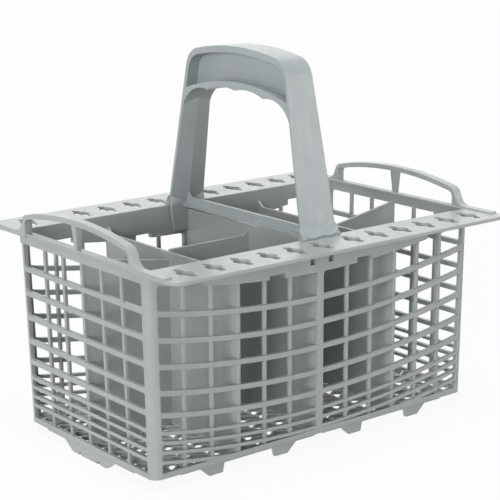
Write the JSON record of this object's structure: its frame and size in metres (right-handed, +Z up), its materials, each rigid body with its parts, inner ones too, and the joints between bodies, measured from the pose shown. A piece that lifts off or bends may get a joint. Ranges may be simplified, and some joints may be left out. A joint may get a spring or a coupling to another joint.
{
  "type": "dishwasher cutlery basket",
  "caption": "Open-grid moulded cutlery basket with divided compartments, pierced side flanges, end bows and a clip-in carrying handle.",
  "frame": {"origin": "on the ground under the middle of the basket", "axes": "+X along the basket, +Y across it towards the back, +Z up"},
  "size_m": [0.24, 0.1844, 0.222],
  "materials": {
    "moulding": "satin moulded polypropylene, light grey",
    "grip": "satin moulded polypropylene, mid grey"
  },
  "bodies": {
    "root": {"basket": "moulding", "handle": "grip"}
  },
  "joints": []
}
